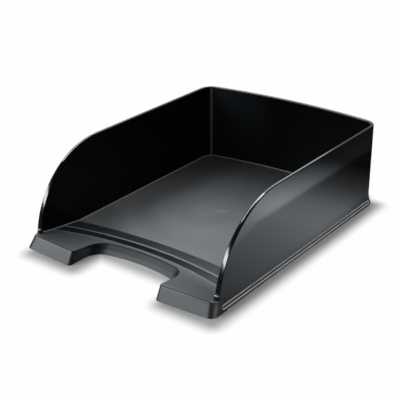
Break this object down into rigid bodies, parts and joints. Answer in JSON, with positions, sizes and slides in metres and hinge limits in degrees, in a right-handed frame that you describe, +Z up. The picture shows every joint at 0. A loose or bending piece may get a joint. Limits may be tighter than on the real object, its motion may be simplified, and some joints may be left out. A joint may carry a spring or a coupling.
{
  "type": "letter tray",
  "caption": "Deep open-front letter tray with swept side walls, a bowed back, a stepped front ramp and a finger notch in the lip, made to stack.",
  "frame": {"origin": "on the table, under the middle of the tray's outside box", "axes": "+X to the right, +Y to the back, away from the open front, +Z up"},
  "size_m": [0.256, 0.352, 0.101],
  "materials": {
    "gloss_black": "glossy black polystyrene",
    "satin_black": "fine satin black polystyrene"
  },
  "bodies": {
    "root": {"floor_panel": "satin_black", "front_ramp": "satin_black", "front_lip": "satin_black", "notch_wall": "satin_black", "left_wall": "gloss_black", "right_wall": "gloss_black", "back_wall": "gloss_black", "left_corner": "gloss_black", "right_corner": "gloss_black", "left_rim": "gloss_black", "right_rim": "gloss_black", "back_rim": "gloss_black", "left_skirt": "gloss_black", "right_skirt": "gloss_black", "back_skirt": "gloss_black", "left_corner_skirt": "gloss_black", "right_corner_skirt": "gloss_black", "left_rail": "gloss_black", "right_rail": "gloss_black", "left_curb": "gloss_black", "right_curb": "gloss_black"}
  },
  "joints": []
}
